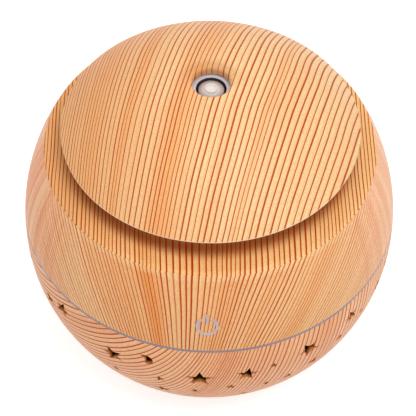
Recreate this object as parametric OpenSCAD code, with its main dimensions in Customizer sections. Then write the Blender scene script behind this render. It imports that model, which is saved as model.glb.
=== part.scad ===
// Ultrasonic essential oil diffuser: a pierced bowl on a screwed base, an upper shell with a
// shoulder and a finger groove, and a lift-off dome lid with a mist outlet in its middle.
// Millimetres, +Z up, front (touch mark) towards -Y, origin under the centre of the base,
// on the surface that the diffuser stands on.

/* [Body] */
// Widest diameter of the body
body_d = 100; // [97:0.5:110]
// Height of the widest line
belly_z = 38; // [36:0.5:40]
// Radius of the side's curve above the widest line
upper_curve_r = 60.2; // [58:0.2:64]
// Radius of the side's curve below the widest line
lower_curve_r = 54.8; // [53:0.2:58]
// Height of the shoulder
shoulder_z = 67.4; // [66:0.2:70]
// Wall thickness of both shells
wall = 2; // [1.6:0.1:2.4]
// Rounding of the shoulder's outer edge
crease_r = 1.2; // [0.6:0.1:1.8]
// Rounding between the shoulder and the neck
cove_r = 3; // [1.5:0.1:3.2]
// Height at which the trim ring starts
trim_z = 44.5; // [42:0.1:47]
// Height of the trim ring
trim_h = 0.8; // [0.6:0.1:2]

/* [Cut-outs] */
// Radius of the biggest star cut-outs, tip to centre
star_r = 3.3; // [2.4:0.1:3.6]
// Inner radius of a five-pointed star as a share of its outer radius
star_depth = 0.42; // [0.36:0.01:0.5]
// Number of times the star pattern repeats round the bowl
star_repeats = 3; // [1:1:3]

/* [Touch mark] */
// Diameter of the power symbol's ring
mark_d = 5.6; // [4:0.2:8]
// Line width of the power symbol
mark_line = 0.7; // [0.5:0.1:1]
// Height of the symbol's ring centre
mark_z = 53.7; // [52:0.1:56]

/* [Lid] */
// Diameter of the lid at its edge
lid_d = 75.6; // [74:0.2:78]
// Height of the finger groove between the shoulder and the lid's edge
groove_h = 6; // [5.6:0.1:7]
// Height of the dome above the lid's edge
dome_h = 15.5; // [14.6:0.1:18]
// Wall thickness of the dome
lid_wall = 2.2; // [1.8:0.1:2.6]
// Diameter of the mist hole
mist_hole_d = 9.4; // [9:0.1:11]
// Rounding of the mist hole's outer lip
lip_r = 1; // [0.5:0.1:1.4]
// Inner diameter of the mist chimney
chimney_d = 12; // [11.6:0.1:14]
// Diameter of the button in the mist outlet
button_d = 6.6; // [5.6:0.1:6.8]
// Depth of the liner's skirt in the tank's mouth
skirt_h = 6.4; // [5:0.1:8]

/* [Water tank] */
// Inner diameter of the tank's mouth
mouth_d = 57.8; // [56.6:0.1:59]
// Radius that the tank loses towards its floor
tank_taper = 1.4; // [0.6:0.1:2]
// Height of the tank's floor
tank_floor_z = 30; // [29.4:0.1:33]
// Wall thickness of the tank
tank_wall = 1.8; // [1.4:0.1:2.2]
// Height of the air riser's open end
riser_top_z = 62; // [56:0.5:64]
// Inner diameter of the air riser
riser_d = 8.8; // [7:0.1:9.2]

/* [Base] */
// Height of the body above the surface it stands on
foot_h = 1.2; // [0.8:0.1:2]
// Thickness of the base plate
base_t = 2.2; // [1.8:0.1:2.8]
// Diameter of a foot pad
pad_d = 9; // [7:0.5:10]
// Distance of the base screws from the base plate's edge
screw_inset = 6.9; // [6.5:0.1:7.3]
// Height of the power inlet's middle
inlet_z = 14; // [13.4:0.1:15]
// Diameter of the recess round the power inlet
inlet_recess_d = 11.8; // [11:0.1:12.6]

/* [Mist maker] */
// Diameter of the ultrasonic disc
disc_d = 16; // [14:0.5:17]
// Thickness of the ultrasonic disc
disc_t = 1.2; // [0.8:0.1:1.6]

/* [Fan] */
// Side of the square fan frame
fan_size = 25; // [24:0.5:25.5]
// Thickness of the fan frame
fan_h = 7; // [6.4:0.1:8]
// Number of fan blades
blade_count = 7; // [5:1:9]
// Diameter of the fan shaft
shaft_d = 1.5; // [1.2:0.1:1.8]

/* [Electronics] */
// Thickness of the circuit boards
board_t = 1.6; // [1:0.1:2]
// Length of the main board along X
main_board_x = 26.5; // [25:0.5:27]
// Width of the main board along Y
main_board_y = 34; // [33:0.5:35]
// Number of lights on the light board
led_count = 6; // [3:1:6]

/* [Hidden] */

shell_fn = 128;
part_fn = 48;
small_fn = 24;

// Clearances
fit_gap = 0.2;         // between pieces that drop into each other
seat_gap = 0.2;        // between the lid's gasket and the tank's rim
hole_gap = 0.05;       // round screws, pegs and the fan shaft, on the radius
over = 1;              // how far a cut runs past the face it opens

// Outline of the body
body_r = body_d / 2;
base_z = foot_h;
base_top = base_z + base_t;
trim_top = trim_z + trim_h;
lid_edge_z = shoulder_z + groove_h;
rim_ledge_t = 1.8;     // ledge in the bowl that the base plate is pulled against
rim_ledge_w = 2.4;
plate_r = side_r(base_z, wall) - fit_gap;

// Neck and tank
mouth_r = mouth_d / 2;
tank_r = mouth_r + tank_wall;
floor_r = mouth_r - tank_taper;
floor_t = 2;
tank_under = tank_floor_z - floor_t;
floor_fillet = 1.5;
neck_wall = 2;
neck_r = tank_r + fit_gap + neck_wall;
flange_t = 1.2;
flange_over = 0.6;
gasket_t = 0.8;
flange_top = lid_edge_z - gasket_t - seat_gap;
neck_top = flange_top - flange_t;

// Lid
lid_r = lid_d / 2;
rim_h = 0.3;
dome_r = (lid_r * lid_r + (dome_h - rim_h) * (dome_h - rim_h)) / (2 * (dome_h - rim_h));
dome_z = lid_edge_z + dome_h - dome_r;
mist_r = mist_hole_d / 2;
chimney_r = chimney_d / 2;
chimney_wall = 1.2;
chimney_bottom = lid_edge_z - skirt_h - 1;
nozzle_r = chimney_r + chimney_wall - 0.3;
nozzle_t = 1.4;
nozzle_top = dome_under(nozzle_r) - fit_gap;
chimney_top = nozzle_top - nozzle_t;
liner_t = 1.4;
skirt_t = 1.4;
skirt_r = mouth_r - 0.5;
lid_boss_r = 20;       // distance of the lid screws from the middle
lid_screw_count = 3;
lid_screw_h = 6;

// Base and screws
screw_r = 1.2;
screw_head_r = 2.3;
screw_head_h = 1.5;
post_r = 3;
tower_r = post_r + 0.4;
boss_h = 3.6;          // height of the base plate's screw towers
screw_angles = [60, 120, 240, 300];
screw_circle_r = plate_r - screw_inset;
pad_edge = 1.9;        // from a foot pad to the base plate's edge
pad_circle_r = plate_r - pad_edge - pad_d / 2;
pad_angles = [32, 148, 212, 328];
pad_sink = 0.6;        // depth of the recess that holds a foot pad

// Power inlet
inlet_floor_y = side_r(inlet_z, 0) - 7.6;
inlet_wall = 1.5;
inlet_size = [9, 11, 9.6];
inlet_nose_r = 4;
inlet_hole_r = 3.1;
inlet_pin_r = 1;
inlet_depth = 9.5;     // depth of the inlet's hole
contact_tail = 1.4;    // how far its contacts stand out at the back
contact_tab = [0.5, contact_tail, 1.8];
contact_tab_at = [-2.6, -contact_tail, 1.6];
inlet_back_y = inlet_floor_y - inlet_wall - inlet_size[1];

// Mist maker stack under the tank's floor
disc_r = disc_d / 2;
seal_lip_t = 0.9;
seal_overlap = 1.4;    // how far the seal's lips cover the disc
seal_wall = 1.5;
seal_r = disc_r + seal_wall;
seal_h = disc_t + 2 * seal_lip_t;
disc_z = tank_under - seal_lip_t - disc_t;
clamp_wall = 1.4;
clamp_t = 1.4;
clamp_r = seal_r + fit_gap / 2 + clamp_wall;
clamp_z = tank_under - seal_h - clamp_t;
ear_circle_r = clamp_r + 2.4;
ear_r = 2.5;
ear_boss_h = 3;
ear_count = 3;
ear_turn = 30;         // clear of the air duct and of the light board's stands
small_screw_r = 0.9;
small_head_r = 1.7;
small_head_h = 1.1;

// Air path
riser_wall = 1.2;
riser_r = riser_d / 2 + riser_wall;
riser_collar_r = riser_r + 1.2;
riser_collar_t = 1.4;
riser_bottom_z = tank_under - 6;
duct_wall = 1.2;
duct_sleeve_r = riser_r + hole_gap * 2;
riser_gap = 2.1;       // between the air duct and the mist maker's clamp
riser_x = -(clamp_r + riser_gap + duct_sleeve_r + duct_wall);

// Fan
fan_clear = 2.1;       // between the fan frame's corners and the bowl's wall
fan_reach = side_r(base_top, wall) - fan_clear;
fan_x = fan_size / 2 - sqrt(fan_reach * fan_reach - fan_size * fan_size / 4);
fan_stand = 0.8;       // rib height under the fan frame
fan_z = base_top + fan_stand;
fan_top = fan_z + fan_h;
fan_bore_r = fan_size / 2 - 0.8;
fan_hole_at = fan_size / 2 - 2.5;
blade_tip_r = fan_bore_r - 0.5;
hub_r = 6;
hub_wall = 0.8;
stator_t = 1.2;
stator_r = 5.5;
rotor_gap = 0.4;       // running gap under the rotor's hub
shaft_r = shaft_d / 2;
bush_r = shaft_r + 1.1;
coil_r = 4.1;
magnet_t = 0.7;
hub_roof = 1.2;
shaft_seat = 0.6;      // depth of the shaft in the hub's roof
rotor_z = fan_z + stator_t + rotor_gap;
rotor_h = fan_h - stator_t - 2 * rotor_gap;

// Boards
board_z = base_top + 5.4;
board_top = board_z + board_t;
board_x0 = 0.6;
board_hole_in = 3;
standoff_r = 2;
inductor_r = 4.2;
inductor_flange = 1.2;
inductor_h = 7;
can_r = [3.2, 2.5];
can_h = [7.5, 6.5];
chip_size = [4, 7.4, 1.5];
pin_w = 0.5;
transistor_size = [2.6, 7, 5.4];
heat_sink_size = [1, 9, 8];
light_gap = 0.4;       // between the light board and the tank's screw posts
light_board_r = screw_circle_r - post_r - light_gap;
light_board_in_r = light_board_r - 5.2;
light_z = tank_under - 8;
light_peg_r = 0.9;
light_stand_r = 1.6;
light_mid_r = (light_board_r + light_board_in_r) / 2;
light_size = 3.4;
light_h = 1.5;
touch_z = mark_z;
touch_y = side_r(touch_z, wall) - 8;
touch_size = [18, 1.2, 9];
touch_post_r = 1.8;
touch_post_x = 7;

// Shapes of the star cut-outs in one repeat: angle from the front, height above the base,
// size as a share of the biggest star, number of points, turn
CUTS = [
    [-56, 35.5, 0.75, 5, 8],
    [-48.5, 38, 0.95, 5, -14],
    [-29, 33.5, 1.1, 5, 22],
    [-29.5, 24, 0.4, 4, 0],
    [-14, 19.8, 0.78, 5, 17],
    [-14, 28.5, 0.5, 5, 10],
    [-2, 31.8, 1.2, 5, 0],
    [-3.5, 23, 0.42, 4, 0],
    [7.5, 26, 0.5, 5, 0],
    [12, 33, 1, 5, -9],
    [12.5, 16.8, 0.45, 4, 0],
    [20, 34.5, 0.4, 5, 0],
    [19, 23.4, 0.4, 4, 0],
    [26.5, 23.2, 0.58, 5, 0],
    [31.5, 35.8, 1.08, 5, 30],
    [35, 25.8, 0.7, 5, -8],
    [44.5, 30.2, 0.5, 5, 0],
    [48, 37.6, 0.8, 5, 16],
    [54, 33.8, 0.35, 4, 0]
];
// Angle, height and size of the half moon in one repeat
MOON = [-18, 37.5, 0.62];

// Outer radius of the body at height z, less an inset measured square to the surface
function side_r(z, inset) =
    let (curve = z >= belly_z ? upper_curve_r : lower_curve_r)
    body_r - curve + sqrt(pow(curve - inset, 2) - pow(z - belly_z, 2));

// Height of the dome's under face at radius r
function dome_under(r) = dome_z + sqrt(pow(dome_r - lid_wall, 2) - r * r);

function unit(v) = v / norm(v);

// A point of a cubic Bezier curve, and the curve's direction there
function bezier(p, t) =
    pow(1 - t, 3) * p[0] + 3 * t * pow(1 - t, 2) * p[1] + 3 * t * t * (1 - t) * p[2] + t * t * t * p[3];
function bezier_way(p, t) =
    unit(pow(1 - t, 2) * (p[1] - p[0]) + 2 * t * (1 - t) * (p[2] - p[1]) + t * t * (p[3] - p[2]));

// A direction square to v
function across(v) = unit(cross(v, abs(v[0]) < 0.7 ? [1, 0, 0] : [0, 1, 0]));

// Side directions that follow a path's directions without twisting
function carried(ways, i, side) =
    let (now = unit(side - (side * ways[i]) * ways[i]))
    i == len(ways) - 1 ? [now] : concat([now], carried(ways, i + 1, now));

// A round tube through the points of a path, its rings square to the given directions
module tube_along(path, ways, r, sides) {
    rings = len(path);
    side_ways = carried(ways, 0, across(ways[0]));
    ring_points = [for (i = [0 : rings - 1], k = [0 : sides - 1])
        let (side = side_ways[i], up = cross(ways[i], side), a = 360 * k / sides)
        path[i] + r * (cos(a) * side + sin(a) * up)];
    wall_faces = [for (i = [0 : rings - 2], k = [0 : sides - 1])
        let (a = i * sides + k, b = i * sides + (k + 1) % sides)
        each [[a, b, b + sides], [a, b + sides, a + sides]]];
    start_face = [for (k = [sides - 1 : -1 : 0]) k];
    end_face = [for (k = [0 : sides - 1]) (rings - 1) * sides + k];
    polyhedron(points = ring_points, faces = concat(wall_faces, [start_face, end_face]));
}

// One insulated wire along a Bezier curve
lead_r = 0.55;
lead_steps = 12;
lead_sides = 8;
module lead(p) {
    stops = [for (i = [0 : lead_steps]) i / lead_steps];
    tube_along([for (t = stops) bezier(p, t)], [for (t = stops) bezier_way(p, t)], lead_r, lead_sides);
}

module at_polar(r, angle) {
    rotate([0, 0, angle]) translate([r, 0, 0]) children();
}

module tube(r_out, r_in, h, fn = part_fn) {
    difference() {
        cylinder(r = r_out, h = h, $fn = fn);
        translate([0, 0, -over]) cylinder(r = r_in, h = h + 2 * over, $fn = fn);
    }
}

// Screw with a cross recess, head down, shank up, its head's seat at z = 0
module screw_up(r, head_r, head_h, length) {
    slot = head_r * 0.32;
    difference() {
        union() {
            cylinder(r = r, h = length, $fn = small_fn);
            translate([0, 0, -head_h]) cylinder(r = head_r, h = head_h, $fn = small_fn);
        }
        for (a = [0, 90])
            rotate([0, 0, a])
                translate([-head_r * 0.65, -slot / 2, -head_h - over])
                    cube([head_r * 1.3, slot, over + head_h * 0.5]);
    }
}

// ---- Outline of the body, drawn as radius and height ----

module slab(z0, z1, r = 80) {
    translate([0, z0]) square([r, z1 - z0]);
}

// Everything inside the body's side, moved in by inset
module body_section(inset) {
    intersection() {
        translate([body_r - upper_curve_r, belly_z]) circle(r = upper_curve_r - inset, $fn = shell_fn);
        slab(belly_z, shoulder_z);
    }
    intersection() {
        translate([body_r - lower_curve_r, belly_z]) circle(r = lower_curve_r - inset, $fn = shell_fn);
        slab(base_z, belly_z);
    }
}

// Upper part of the body's section, with the shoulder's edge rounded
module shoulder_section(inset, top, round_r) {
    curve_x = body_r - upper_curve_r;
    round_z = top - round_r;
    round_x = curve_x + sqrt(pow(upper_curve_r - inset - round_r, 2) - pow(round_z - belly_z, 2));
    touch = unit([round_x - curve_x, round_z - belly_z]);
    touch_p = [curve_x, belly_z] + (upper_curve_r - inset) * touch;
    difference() {
        intersection() {
            translate([curve_x, belly_z]) circle(r = upper_curve_r - inset, $fn = shell_fn);
            slab(belly_z, top);
        }
        difference() {
            polygon([
                [round_x, round_z], touch_p, touch_p + [over, 0],
                [touch_p[0] + over, top + over], [round_x, top + over]
            ]);
            translate([round_x, round_z]) circle(r = round_r, $fn = small_fn * 2);
        }
    }
}

module upper_section() {
    difference() {
        union() {
            shoulder_section(0, shoulder_z, crease_r);
            translate([0, shoulder_z - over]) square([neck_r, neck_top - shoulder_z + over]);
            difference() {
                translate([neck_r - over, shoulder_z - over]) square([cove_r + over, cove_r + over]);
                translate([neck_r + cove_r, shoulder_z + cove_r]) circle(r = cove_r, $fn = part_fn);
            }
        }
        difference() {
            intersection() {
                translate([body_r - upper_curve_r, belly_z])
                    circle(r = upper_curve_r - wall, $fn = shell_fn);
                slab(belly_z, shoulder_z - wall);
            }
            translate([0, shoulder_z - wall - cove_r]) square([neck_r + cove_r * 0.4, cove_r + over]);
        }
        translate([0, belly_z]) square([neck_r - neck_wall, neck_top]);
        translate([0, belly_z]) square([body_d, trim_top - belly_z]);
    }
}

module lower_section() {
    difference() {
        intersection() {
            body_section(0);
            slab(base_z, trim_z);
        }
        intersection() {
            body_section(wall);
            slab(base_top + rim_ledge_t, trim_z + over);
        }
        translate([0, trim_z - over]) square([side_r(trim_z - over, wall), 2 * over]);
        square([plate_r + fit_gap, base_top]);
        square([plate_r - rim_ledge_w, base_top + rim_ledge_t + over]);
    }
}

// ---- Shells ----

module star_2d(r, points) {
    inner = points == 4 ? 0.5 : star_depth;
    polygon([for (i = [0 : 2 * points - 1])
        let (a = 90 + 180 * i / points, s = i % 2 == 0 ? r : r * inner)
        [s * cos(a), s * sin(a)]]);
}

module moon_2d(r) {
    difference() {
        circle(r = r, $fn = small_fn);
        translate([-r * 1.2, 0]) circle(r = r * 1.14, $fn = small_fn);
    }
}

// Carries a 2D outline through the bowl's wall, square to the surface at that height
module through_bowl(angle, height) {
    curve = height >= belly_z ? upper_curve_r : lower_curve_r;
    tilt = asin((height - belly_z) / curve);
    rotate([0, 0, angle - 90])
        translate([side_r(height, 0), 0, height])
            rotate([0, -tilt, 0])
                translate([-wall - over * 1.5, 0, 0])
                    rotate([90, 0, 90])
                        linear_extrude(height = wall + over * 3) children();
}

module inlet_pocket_wall() {
    intersection() {
        rotate_extrude($fn = shell_fn) body_section(wall / 2);
        translate([0, inlet_floor_y - inlet_wall, inlet_z]) rotate([-90, 0, 0])
            cylinder(r = inlet_recess_d / 2 + inlet_wall, h = 20, $fn = part_fn);
    }
}

module lower_shell() {
    color("burlywood")
    difference() {
        union() {
            rotate_extrude($fn = shell_fn) lower_section();
            inlet_pocket_wall();
        }
        translate([0, inlet_floor_y, inlet_z]) rotate([-90, 0, 0])
            cylinder(r = inlet_recess_d / 2, h = 20, $fn = part_fn);
        translate([0, inlet_floor_y - inlet_wall - over, inlet_z]) rotate([-90, 0, 0])
            cylinder(r = inlet_nose_r + hole_gap, h = inlet_wall + 2 * over, $fn = part_fn);
        // room for the fan's frame and the main board's standoffs in the rim's ledge
        translate([fan_x - fan_size / 2 - 2 * fit_gap, -fan_size / 2 - 2 * fit_gap, base_top - over])
            cube([fan_size, fan_size + 4 * fit_gap, rim_ledge_t + 2 * over]);
        at_board_holes() translate([0, 0, base_top - over])
            cylinder(r = standoff_r + fit_gap, h = rim_ledge_t + 2 * over, $fn = small_fn);
        for (turn = [0 : star_repeats - 1]) {
            for (c = CUTS)
                through_bowl(c[0] + 120 * turn, c[1]) rotate(c[4]) star_2d(star_r * c[2], c[3]);
            through_bowl(MOON[0] + 120 * turn, MOON[1]) rotate(20) moon_2d(star_r * MOON[2]);
        }
    }
}

module upper_shell() {
    color("burlywood") {
        rotate_extrude($fn = shell_fn) upper_section();
        intersection() {
            for (x = [-touch_post_x, touch_post_x])
                translate([x, -touch_y, touch_z]) rotate([90, 0, 0])
                    cylinder(r = touch_post_r, h = 20, $fn = small_fn);
            rotate_extrude($fn = shell_fn) body_section(wall / 2);
        }
    }
}

module trim_ring() {
    tongue = 1.6;
    tongue_r = min(side_r(trim_top + tongue, wall), side_r(trim_z - tongue, wall)) - fit_gap;
    color("lightsteelblue")
    rotate_extrude($fn = shell_fn) {
        intersection() {
            body_section(0);
            translate([tongue_r - 1, trim_z]) square([body_d, trim_h]);
        }
        translate([tongue_r - 1, trim_z - tongue]) square([1, trim_h + 2 * tongue]);
    }
}

// Power symbol printed on the upper shell: a ring open at the top and a stem
module power_mark() {
    print_t = 0.1;
    print_lift = 0.02;
    gap_half = 32;
    r = mark_d / 2;
    color("thistle")
    intersection() {
        rotate_extrude($fn = shell_fn) difference() {
            translate([body_r - upper_curve_r, belly_z])
                circle(r = upper_curve_r + print_lift + print_t, $fn = shell_fn);
            translate([body_r - upper_curve_r, belly_z])
                circle(r = upper_curve_r + print_lift, $fn = shell_fn);
            translate([-body_d, -body_d]) square([body_d, 3 * body_d]);
        }
        translate([0, 0, mark_z]) rotate([90, 0, 0]) linear_extrude(height = body_d) {
            difference() {
                circle(r = r, $fn = part_fn);
                circle(r = r - mark_line, $fn = part_fn);
                polygon([
                    [0, 0], 2 * r * [sin(gap_half), cos(gap_half)], 2 * r * [-sin(gap_half), cos(gap_half)]
                ]);
            }
            translate([-mark_line / 2, r * 0.25]) square([mark_line, r * 0.95]);
        }
    }
}

// ---- Base ----

module at_base_screws() {
    for (a = screw_angles)
        at_polar(screw_circle_r, a) children();
}

module at_pads() {
    for (a = pad_angles)
        at_polar(pad_circle_r, a) children();
}

module base_plate() {
    slot_w = 1.8;
    slot_pitch = 3.4;
    slot_rows = 2;
    cradle_wall = 1.4;
    cradle_w = inlet_size[0] + 2 * fit_gap;
    cradle_y0 = inlet_back_y + 2;
    cradle_reach = plate_r - rim_ledge_w - fit_gap;
    cradle_y1 = sqrt(pow(cradle_reach, 2) - pow(cradle_w / 2 + cradle_wall, 2));
    inlet_under = inlet_z - inlet_size[2] / 2;
    color("dimgray")
    difference() {
        union() {
            translate([0, 0, base_z]) cylinder(r = plate_r, h = base_t, $fn = shell_fn);
            at_base_screws() translate([0, 0, base_top - over])
                cylinder(r = tower_r, h = boss_h + over, $fn = part_fn);
            at_board_holes() translate([0, 0, base_top - over])
                cylinder(r = standoff_r, h = board_z - base_top + over, $fn = small_fn);
            for (x = [-fan_hole_at, fan_hole_at], y = [-fan_hole_at, fan_hole_at])
                translate([fan_x + x, y, base_top - over])
                    cylinder(r = 2, h = fan_stand + over, $fn = small_fn);
            for (x = [-cradle_w / 2 - cradle_wall, cradle_w / 2])
                translate([x, cradle_y0, base_top - over])
                    cube([cradle_wall, cradle_y1 - cradle_y0, inlet_under - base_top + 2 * over]);
            translate([-cradle_w / 2, cradle_y0, base_top - over])
                cube([cradle_w, cradle_y1 - cradle_y0, inlet_under - base_top + over]);
        }
        at_base_screws() {
            translate([0, 0, base_z - over])
                cylinder(r = screw_head_r + fit_gap, h = screw_head_h + over + 0.4, $fn = part_fn);
            translate([0, 0, base_z])
                cylinder(r = screw_r + hole_gap, h = base_t + boss_h + over, $fn = small_fn);
        }
        at_pads() translate([0, 0, base_z - over])
            cylinder(r = pad_d / 2 + hole_gap, h = pad_sink + over, $fn = part_fn);
        at_board_holes() translate([0, 0, board_z - 4])
            cylinder(r = small_screw_r + hole_gap, h = 4 + over, $fn = small_fn);
        for (x = [-1, 1])
            translate([fan_x + x * fan_hole_at, x * fan_hole_at, fan_z - 2.4])
                cylinder(r = small_screw_r + hole_gap, h = 2.4 + over, $fn = small_fn);
        // air slots under the fan, shorter towards the sides of its bore
        for (i = [-slot_rows : slot_rows]) {
            half = sqrt(pow(fan_bore_r - 1, 2) - pow(i * slot_pitch, 2)) - slot_w / 2;
            for (side = [-1, 1])
                translate([fan_x + side * (half / 2 + 0.6), i * slot_pitch, base_z - over])
                    air_slot(half - 0.6, slot_w, base_t + 2 * over);
        }
    }
}

// A slot with round ends, its length along X
module air_slot(length, w, h) {
    straight = max(length - w, 0.1);
    translate([-straight / 2, -w / 2, 0]) cube([straight, w, h]);
    for (x = [-straight / 2, straight / 2])
        translate([x, 0, 0]) cylinder(r = w / 2, h = h, $fn = small_fn);
}

module foot_pads() {
    color("gainsboro")
    at_pads() cylinder(r = pad_d / 2, h = foot_h + pad_sink, $fn = part_fn);
}

module base_screws() {
    seat = base_z + screw_head_h + 0.4;
    grip = 9;
    color("silver")
    at_base_screws() translate([0, 0, seat])
        screw_up(screw_r, screw_head_r, screw_head_h, base_top + boss_h - seat + grip);
}

// ---- Lid ----

module dome_disc(inset) {
    translate([0, dome_z]) circle(r = dome_r - inset, $fn = shell_fn * 2);
}

// What is taken out of the dome for the mist hole with its rounded lip
module mist_hole_section() {
    lip_x = mist_r + lip_r;
    lip_z = dome_z + sqrt(pow(dome_r - lip_r, 2) - lip_x * lip_x);
    touch = [0, dome_z] + dome_r * unit([lip_x, lip_z - dome_z]);
    above = lid_edge_z + dome_h + over;
    translate([0, lid_edge_z]) square([mist_r, dome_h + over]);
    difference() {
        polygon([[0, lip_z], [lip_x, lip_z], touch, [touch[0], above], [0, above]]);
        translate([lip_x, lip_z]) circle(r = lip_r, $fn = part_fn);
    }
}

module lid_cover() {
    color("navajowhite")
    difference() {
        union() {
            rotate_extrude($fn = shell_fn) difference() {
                intersection() {
                    dome_disc(0);
                    slab(lid_edge_z, lid_edge_z + dome_h + over, lid_r);
                }
                intersection() {
                    dome_disc(lid_wall);
                    slab(lid_edge_z - over, lid_edge_z + dome_h + over);
                }
                mist_hole_section();
            }
            at_lid_screws() translate([0, 0, lid_edge_z + liner_t])
                cylinder(r = 2.4, h = dome_under(lid_boss_r) - lid_edge_z - liner_t + 1, $fn = small_fn);
        }
        at_lid_screws() translate([0, 0, lid_edge_z])
            cylinder(r = small_screw_r + hole_gap, h = lid_screw_h + 2 * fit_gap, $fn = small_fn);
    }
}

module at_lid_screws() {
    for (i = [0 : lid_screw_count - 1])
        at_polar(lid_boss_r, 90 + 360 * i / lid_screw_count) children();
}

// Inner liner: a plate under the dome, a skirt in the tank's mouth and the mist chimney
module lid_liner() {
    drip = 1.4; // fall of the plate's under face from the skirt to the chimney
    tube_r = chimney_r + chimney_wall;
    color("white")
    difference() {
        rotate_extrude($fn = shell_fn) {
            intersection() {
                dome_disc(lid_wall + fit_gap);
                translate([skirt_r - skirt_t, lid_edge_z]) square([lid_r, liner_t]);
            }
            translate([skirt_r - skirt_t, lid_edge_z - skirt_h]) square([skirt_t, skirt_h + liner_t]);
            translate([chimney_r, chimney_bottom]) square([chimney_wall, chimney_top - chimney_bottom]);
            polygon([
                [tube_r - 0.2, lid_edge_z - drip], [skirt_r - skirt_t + 0.2, lid_edge_z],
                [skirt_r - skirt_t + 0.2, lid_edge_z + liner_t], [tube_r - 0.2, lid_edge_z - drip + liner_t]
            ]);
        }
        at_lid_screws() translate([0, 0, lid_edge_z - liner_t])
            cylinder(r = small_screw_r + hole_gap, h = 3 * liner_t, $fn = small_fn);
        at_lid_screws() translate([0, 0, lid_edge_z - 2 * liner_t])
            cylinder(r = small_head_r + fit_gap, h = 2 * liner_t, $fn = small_fn);
    }
}

module lid_gasket() {
    color("lightgray")
    translate([0, 0, lid_edge_z - gasket_t]) tube(neck_r, skirt_r + 0.8, gasket_t, shell_fn);
}

module lid_screws() {
    color("silver")
    at_lid_screws() translate([0, 0, lid_edge_z])
        screw_up(small_screw_r, small_head_r, small_head_h, lid_screw_h);
}

module mist_nozzle() {
    sleeve_r = chimney_r - hole_gap * 2;
    sleeve_h = 3.6;
    ring_in_r = button_d / 2 + 0.45;
    color("silver")
    rotate_extrude($fn = shell_fn) {
        translate([ring_in_r, chimney_top]) square([nozzle_r - ring_in_r, nozzle_t]);
        translate([sleeve_r - 1, chimney_top - sleeve_h]) square([1, sleeve_h + nozzle_t / 2]);
    }
}

// Centre button of the mist outlet, held by three spokes in the nozzle's sleeve
module mist_button() {
    sleeve_in_r = chimney_r - hole_gap * 2 - 1;
    button_r = button_d / 2;
    crown = 0.5;
    crown_r = (button_r * button_r + crown * crown) / (2 * crown);
    button_top = nozzle_top + 0.1;
    spoke_z = chimney_top - 3.4;
    color("gainsboro") {
        rotate_extrude($fn = part_fn) {
            intersection() {
                translate([0, button_top - crown_r]) circle(r = crown_r, $fn = shell_fn);
                translate([0, button_top - 1.6]) square([button_r, 3]);
            }
            intersection() {
                translate([1.4, button_top - 0.02]) circle(r = 0.25, $fn = small_fn);
                slab(button_top - 0.6, button_top + 1);
            }
            translate([0, spoke_z]) square([1.2, button_top - spoke_z - 1]);
        }
        for (a = [30, 150, 270])
            rotate([0, 0, a]) translate([0, -0.5, spoke_z]) cube([sleeve_in_r - 0.3, 1, 1.2]);
        translate([0, 0, spoke_z]) tube(sleeve_in_r - hole_gap, sleeve_in_r - 0.8, 1.2);
    }
}

// ---- Water tank and air path ----

module tank_section() {
    difference() {
        union() {
            polygon([
                [0, tank_under], [floor_r + tank_wall, tank_under],
                [tank_r, neck_top + 0.1], [0, neck_top + 0.1]
            ]);
            translate([0, neck_top]) square([neck_r + flange_over, flange_t]);
            // the floor reaches out as far as the screw posts under it
            translate([0, tank_under]) square([screw_circle_r + post_r, floor_t]);
        }
        polygon([
            [0, tank_floor_z + floor_fillet], [floor_r, tank_floor_z + floor_fillet],
            [mouth_r, flange_top + over], [0, flange_top + over]
        ]);
        translate([0, tank_floor_z]) square([floor_r - floor_fillet, floor_fillet + over]);
        translate([floor_r - floor_fillet, tank_floor_z + floor_fillet])
            circle(r = floor_fillet, $fn = small_fn * 2);
    }
}

module at_clamp_ears() {
    for (i = [0 : ear_count - 1])
        at_polar(ear_circle_r, ear_turn + 360 * i / ear_count) children();
}

module at_light_stands() {
    for (a = [-118, 12, 105])
        at_polar(light_mid_r, a) children();
}

module water_tank() {
    level_z = [for (share = [0.29, 0.485, 0.68]) tank_floor_z + share * (neck_top - tank_floor_z)];
    post_bottom = base_top + boss_h + fit_gap;
    color("white")
    difference() {
        union() {
            rotate_extrude($fn = shell_fn) tank_section();
            // level marks inside the wall
            for (z = level_z)
                rotate([0, 0, -8]) rotate_extrude(angle = 16, $fn = shell_fn)
                    translate([mouth_r - tank_taper - 0.3, z]) square([tank_taper + 0.8, 0.8]);
            at_base_screws() translate([0, 0, post_bottom])
                cylinder(r = post_r, h = tank_under - post_bottom + over, $fn = part_fn);
            at_clamp_ears() translate([0, 0, tank_under - ear_boss_h])
                cylinder(r = 2.2, h = ear_boss_h + over, $fn = small_fn);
            at_light_stands() {
                translate([0, 0, light_z + board_t])
                    cylinder(r = light_stand_r, h = tank_under - light_z - board_t + over, $fn = small_fn);
                translate([0, 0, light_z - 0.6]) cylinder(r = light_peg_r, h = board_t + 1, $fn = small_fn);
            }
        }
        translate([0, 0, tank_under - over])
            cylinder(r = disc_r - seal_overlap + 0.6, h = floor_t + 2 * over, $fn = part_fn);
        translate([riser_x, 0, tank_under - over])
            cylinder(r = riser_r + hole_gap, h = floor_t + 2 * over, $fn = part_fn);
        at_base_screws() translate([0, 0, post_bottom - over])
            cylinder(r = screw_r + hole_gap, h = 12, $fn = small_fn);
        at_clamp_ears() translate([0, 0, tank_under - ear_boss_h - over])
            cylinder(r = small_screw_r + hole_gap, h = ear_boss_h + over + 0.8, $fn = small_fn);
    }
}

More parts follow.
